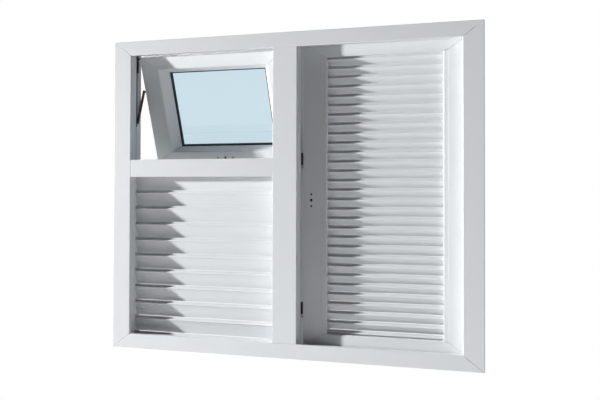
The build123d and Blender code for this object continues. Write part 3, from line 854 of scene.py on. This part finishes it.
class WINDOW_OT_fixed_louvre(bpy.types.Operator):
    """Make the fixed louvre's blades and its closing strip"""

    bl_idname = "window.fixed_louvre"
    bl_label = "Fixed Louvre"

    def execute(self, context):
        blade = context.scene.window_fixed_blades
        foot_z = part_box("fixed_louvre_sill_strip")[0][2]
        blades, strip = blades_and_strip(blade, foot_z, "fixed_blades", "fixed_sill_strip")
        facing_outward(blades)
        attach(blades, "frame")
        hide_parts(*[f"fixed_blade_{number:02d}" for number in range(1, blade.count + 1)])
        facing_outward(strip)
        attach(strip, "frame")
        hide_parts("fixed_louvre_sill_strip")
        return {"FINISHED"}


class WINDOW_OT_casement_louvre(bpy.types.Operator):
    """Make the casement's blades, its closing strip and the two carriers"""

    bl_idname = "window.casement_louvre"
    bl_label = "Casement Louvre"

    def execute(self, context):
        blade = context.scene.window_casement_blades
        low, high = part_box("casement_louvre")
        blades, strip = blades_and_strip(blade, low[2], "blades", "strip")
        carriers = []
        for outer_x, web_x in ((low[0], blade.start_x), (high[0], blade.start_x + blade.length)):
            hand = 1 if web_x > outer_x else -1
            section = [
                (outer_x, low[1]),
                (web_x, low[1]),
                (web_x, high[1]),
                (outer_x, high[1]),
                (outer_x, high[1] - CARRIER_WALL),
                (web_x - hand * CARRIER_WALL, high[1] - CARRIER_WALL),
                (web_x - hand * CARRIER_WALL, low[1] + CARRIER_WALL),
                (outer_x, low[1] + CARRIER_WALL),
            ]
            carriers.append(upright_channel("carrier", section, low[2], high[2]))
        louvre = joined("casement_blades", [blades, strip, *carriers])
        facing_outward(louvre)
        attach(louvre, "casement")
        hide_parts("casement_louvre")
        return {"FINISHED"}


def upright_channel(name, section, low_z, high_z):
    """A section in the XY plane drawn straight up."""
    mesh = bpy.data.meshes.new(name)
    count = len(section)
    vertices = [(x, y, low_z) for x, y in section] + [(x, y, high_z) for x, y in section]
    faces = [list(range(count)), [count + index for index in range(count)]]
    for index in range(count):
        after = (index + 1) % count
        faces.append([index, after, count + after, count + index])
    mesh.from_pydata(vertices, [], faces)
    mesh.materials.append(finish_named("white powder coat"))
    return link_object(name, mesh)


class WINDOW_OT_fasteners(bpy.types.Operator):
    """Set the screws of the hinges, keepers, stays and frame corners"""

    bl_idname = "window.fasteners"
    bl_label = "Fasteners"

    def execute(self, context):
        screws = context.scene.window_screws
        self.hinge_screws(screws)
        self.stay_screws(screws)
        self.keeper_screws(screws)
        self.corner_screws(screws)
        return {"FINISHED"}

    def place(self, name, body, slot, groups, finish, screws):
        """Join screw heads that face several ways into one piece on a body."""
        pieces = [
            screw_heads(f"{name}.{index}", places, facing, screws.radius, screws.rise, finish)
            for index, (facing, places) in enumerate(groups)
        ]
        piece = joined(name, pieces)
        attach(piece, body)

    def hinge_screws(self, screws):
        """Three screws in each hinge leaf."""
        pin_low, pin_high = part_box("hinge_pins")
        for node_name, body in (("hinge_frame_leaves", "frame"), ("hinge_sash_leaves", "casement")):
            low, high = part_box(node_name)
            if body == "frame":
                leaf_x = (high[0] + pin_high[0]) / 2
                leaf_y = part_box("frame_jamb_right")[1][1]
            else:
                leaf_x = (low[0] + pin_low[0]) / 2
                leaf_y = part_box("casement_hinge_stile")[1][1]
            places = []
            for middle in (low[2] + screws.hinge_half, high[2] - screws.hinge_half):
                for step in (-1, 0, 1):
                    places.append((leaf_x, leaf_y + screws.hinge_leaf, middle + step * screws.hinge_pitch))
            groups = [(OUTDOORS, places)]
            self.place(node_name + "_screws", body, "stainless_steel", groups, "stainless", screws)

    def stay_screws(self, screws):
        """Screws in the walls of the tracks and along the sash bars."""
        low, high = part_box("stay_tracks")
        middle_y = (low[1] + high[1]) / 2
        first_z = low[2] + screws.track_first
        heights = [first_z + step * screws.track_pitch for step in range(TRACK_SCREWS)]
        walls = ((low[0] + screws.track_wall, 1), (high[0] - screws.track_wall, -1))
        tracks = [((hand, 0, 0), [(x, middle_y, height) for height in heights]) for x, hand in walls]
        self.place("stay_track_screws", "frame", "stainless_steel", tracks, "stainless", screws)
        bars = []
        for side, hand in (("left", -1), ("right", 1)):
            low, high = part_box("stay_sash_bar_" + side)
            stile_low, stile_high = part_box("vent_stile_" + side)
            x = (stile_low[0] if hand < 0 else stile_high[0]) + hand * screws.bar_plate
            round_end = screws.bar_half_width
            top = Vector((x, low[1] + round_end, high[2] - round_end))
            foot = Vector((x, high[1] - round_end, low[2] + round_end))
            bars.append(((hand, 0, 0), [top.lerp(foot, share) for share in BAR_SCREW_SHARES]))
        self.place("stay_bar_screws", "vent", "black_steel", bars, "blackened steel", screws)

    def keeper_screws(self, screws):
        """One screw above each keeper's slot."""
        low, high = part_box("lock_keepers")
        middle_y = (low[1] + high[1]) / 2
        rows = [high[2] - screws.keeper_top, low[2] + screws.keeper_height - screws.keeper_top]
        places = [(high[0], middle_y, height) for height in rows]
        self.place("keeper_screws", "frame", "stainless_steel", [((1, 0, 0), places)], "stainless", screws)

    def corner_screws(self, screws):
        """Screws through the jambs into the ends of the head and the sill."""
        groups = []
        for side, hand in (("left", -1), ("right", 1)):
            low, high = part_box("frame_jamb_" + side)
            x = low[0] if hand < 0 else high[0]
            places = [
                (x, low[1] + depth, height)
                for depth in (screws.corner_depth, 2 * screws.corner_depth)
                for height in (low[2] + screws.corner_height, high[2] - screws.corner_height)
            ]
            groups.append(((hand, 0, 0), places))
        self.place("corner_screws", "frame", "stainless_steel", groups, "stainless", screws)


class WINDOW_OT_finishes(bpy.types.Operator):
    """Give glass, rubber and hardware their finishes"""

    bl_idname = "window.finishes"
    bl_label = "Glass, Rubber and Hardware"

    def execute(self, context):
        for name, finish in NODE_FINISHES.items():
            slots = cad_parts[name].material_slots
            for slot in slots:
                slot.material = finish_named(finish)
        return {"FINISHED"}


def area_lamp(name, place, aim, power, size):
    """A square lamp that points at a spot and is as strong far off as near."""
    light = bpy.data.lights.new(name, "AREA")
    light.energy = power
    light.size = size
    light.use_nodes = True
    emission = light.node_tree.nodes["Emission"]
    falloff = light.node_tree.nodes.new("ShaderNodeLightFalloff")
    falloff.inputs["Strength"].default_value = 1.0
    light.node_tree.links.new(falloff.outputs["Constant"], emission.inputs["Strength"])
    lamp = bpy.data.objects.new(name, light)
    bpy.context.scene.collection.objects.link(lamp)
    lamp.location = place
    lamp.rotation_mode = "QUATERNION"
    lamp.rotation_quaternion = (Vector(aim) - Vector(place)).to_track_quat("-Z", "Y")
    return lamp


class WINDOW_OT_stage(bpy.types.Operator):
    """Set up the camera, the lamps, the pale floor, the white surround and the shading board"""

    bl_idname = "window.stage"
    bl_label = "Stage"

    def execute(self, context):
        stage = context.scene.window_stage
        scene = context.scene
        scene.view_settings.view_transform = "Standard"
        camera_data = bpy.data.cameras.new("camera")
        camera_data.sensor_width = FILM_WIDTH
        camera_data.lens = stage.camera_lens
        camera_data.shift_y = stage.camera_shift
        camera = bpy.data.objects.new("camera", camera_data)
        scene.collection.objects.link(camera)
        camera.location = stage.camera_place
        turn = Matrix.Rotation(stage.camera_yaw, 3, "Z")
        tilt = Matrix.Rotation(pi / 2 + stage.camera_pitch, 3, "X")
        roll = Matrix.Rotation(stage.camera_roll, 3, "Z")
        camera.rotation_mode = "QUATERNION"
        camera.rotation_quaternion = (turn @ tilt @ roll).to_quaternion()
        scene.camera = camera

        area_lamp("key", stage.key_place, LAMP_AIM, stage.key_power, stage.key_size)
        back_lamp = area_lamp("back", stage.back_place, LAMP_AIM, stage.back_power, stage.back_size)
        back_lamp.visible_transmission = False
        self.surround(scene, stage)
        self.floor(stage)
        self.flag(stage)
        return {"FINISHED"}

    def surround(self, scene, stage):
        """White to the eye and through glass, dim in reflections, and a faint even light for the rest."""
        world = bpy.data.worlds.new("surround")
        world.use_nodes = True
        scene.world = world
        tree = world.node_tree
        background = tree.nodes["Background"]
        background.inputs["Color"].default_value = (*stage.room_colour, 1)
        background.inputs["Strength"].default_value = stage.room_light
        gloss = node(tree, "ShaderNodeBackground", Color=WHITE, Strength=stage.room_gloss)
        white = node(tree, "ShaderNodeBackground", Color=WHITE, Strength=1.0)
        path = node(tree, "ShaderNodeLightPath")
        softened = node(tree, "ShaderNodeMixShader")
        whole = node(tree, "ShaderNodeMixShader")
        wire(
            tree,
            (path, "Is Glossy Ray", softened, "Fac"),
            (background, "Background", softened, 1),
            (gloss, "Background", softened, 2),
            (seen_node(tree), "Value", whole, "Fac"),
            (softened, "Shader", whole, 1),
            (white, "Background", whole, 2),
            (whole, "Shader", tree.nodes["World Output"], "Surface"),
        )

    def flag(self, stage):
        """A board level with the jamb's back, where the wall would shade the vent; only its shadow shows."""
        low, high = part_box("frame_jamb_left")
        corners = [
            (low[0] - stage.flag_width, high[1], low[2] - FLAG_REACH),
            (low[0], high[1], low[2] - FLAG_REACH),
            (low[0], high[1], high[2] + FLAG_REACH),
            (low[0] - stage.flag_width, high[1], high[2] + FLAG_REACH),
        ]
        mesh = bpy.data.meshes.new("flag")
        mesh.from_pydata(corners, [], [(0, 1, 2, 3)])
        material, shader = new_material("flag")
        shader.inputs["Base Color"].default_value = FLAG_COLOUR
        mesh.materials.append(material)
        flag = link_object("flag", mesh)
        for ray in ("camera", "diffuse", "glossy", "transmission", "volume_scatter"):
            setattr(flag, "visible_" + ray, False)

    def floor(self, stage):
        """A pale floor below the unit, plain white to the eye and through glass."""
        level = cad_low[2] - stage.floor_drop
        mesh = bpy.data.meshes.new("floor")
        spread = ((-1, -1), (1, -1), (1, 1), (-1, 1))
        corners = [(across * FLOOR_HALF, along * FLOOR_HALF, level) for across, along in spread]
        mesh.from_pydata(corners, [], [(0, 1, 2, 3)])
        material, shader = new_material("floor")
        tree = material.node_tree
        shader.inputs["Base Color"].default_value = FLOOR_COLOUR
        shader.inputs["Roughness"].default_value = FLOOR_ROUGHNESS
        glow = node(tree, "ShaderNodeEmission", Strength=1.0)
        mix = node(tree, "ShaderNodeMixShader")
        wire(
            tree,
            (seen_node(tree), "Value", mix, "Fac"),
            (shader, "BSDF", mix, 1),
            (glow, "Emission", mix, 2),
            (mix, "Shader", tree.nodes["Material Output"], "Surface"),
        )
        mesh.materials.append(material)
        link_object("floor", mesh)


def seen_node(tree):
    """A node that gives 1 for rays that the camera or a pane sends out, and 0 for the rest."""
    path = node(tree, "ShaderNodeLightPath")
    larger = node(tree, "ShaderNodeMath", operation="MAXIMUM")
    wire(tree, (path, "Is Camera Ray", larger, 0), (path, "Is Transmission Ray", larger, 1))
    return larger


class WINDOW_PT_parts(bpy.types.Panel):
    """The window's pieces, in the order in which they are made"""

    bl_idname = "WINDOW_PT_parts"
    bl_label = "Louvred Window"
    bl_space_type = "VIEW_3D"
    bl_region_type = "UI"
    bl_category = "Window"

    def draw(self, context):
        for operator in STEPS:
            self.layout.operator(operator.bl_idname)


STEPS = (
    WINDOW_OT_members,
    WINDOW_OT_fixed_louvre,
    WINDOW_OT_casement_louvre,
    WINDOW_OT_fasteners,
    WINDOW_OT_finishes,
    WINDOW_OT_stage,
)
SETTINGS = {
    "window_finishes": FinishSettings,
    "window_arris": ArrisSettings,
    "window_screws": ScrewSettings,
    "window_fixed_blades": BladeSettings,
    "window_casement_blades": BladeSettings,
    "window_stage": StageSettings,
}


def register():
    """Register the settings, the operators and the panel."""
    for settings in dict.fromkeys(SETTINGS.values()):
        bpy.utils.register_class(settings)
    for name, settings in SETTINGS.items():
        setattr(bpy.types.Scene, name, PointerProperty(type=settings))
    for operator in STEPS:
        bpy.utils.register_class(operator)
    bpy.utils.register_class(WINDOW_PT_parts)


def unregister():
    """Undo register."""
    bpy.utils.unregister_class(WINDOW_PT_parts)
    for operator in reversed(STEPS):
        bpy.utils.unregister_class(operator)
    for name in SETTINGS:
        delattr(bpy.types.Scene, name)
    for settings in dict.fromkeys(SETTINGS.values()):
        bpy.utils.unregister_class(settings)


def set_blades(scene):
    """Place both louvres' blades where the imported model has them, and size them."""
    casement = scene.window_casement_blades
    low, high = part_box("casement_louvre")
    casement.start_x = low[0] + CARRIER_REACH
    casement.length = high[0] - low[0] - 2 * CARRIER_REACH
    casement.nose_y = low[1] + CASEMENT_NOSE_SETBACK
    casement.top_z = CASEMENT_TOP
    casement.pitch = 0.03452
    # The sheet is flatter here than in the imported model, whose bow is 4 mm
    casement.bow = 0.0015
    casement.count = 29
    fixed = scene.window_fixed_blades
    low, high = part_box("fixed_blade_01")
    fixed.start_x = low[0]
    fixed.length = high[0] - low[0]
    fixed.nose_y = low[1]
    fixed.top_z = high[2]
    fixed.pitch = high[2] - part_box("fixed_blade_02")[1][2]
    fixed.count = 10
    fixed.nose = 0.00375
    fixed.lip = 0.0075
    fixed.run = 0.026
    fixed.drop = 0.0605
    fixed.bow = 0.0
    fixed.sheet = 0.0018
    fixed.hem = 0.0025


def main():
    """Make every piece in order."""
    register()
    set_blades(bpy.context.scene)
    for operator in STEPS:
        group, name = operator.bl_idname.split(".")
        getattr(getattr(bpy.ops, group), name)()


if __name__ == "__main__":
    main()
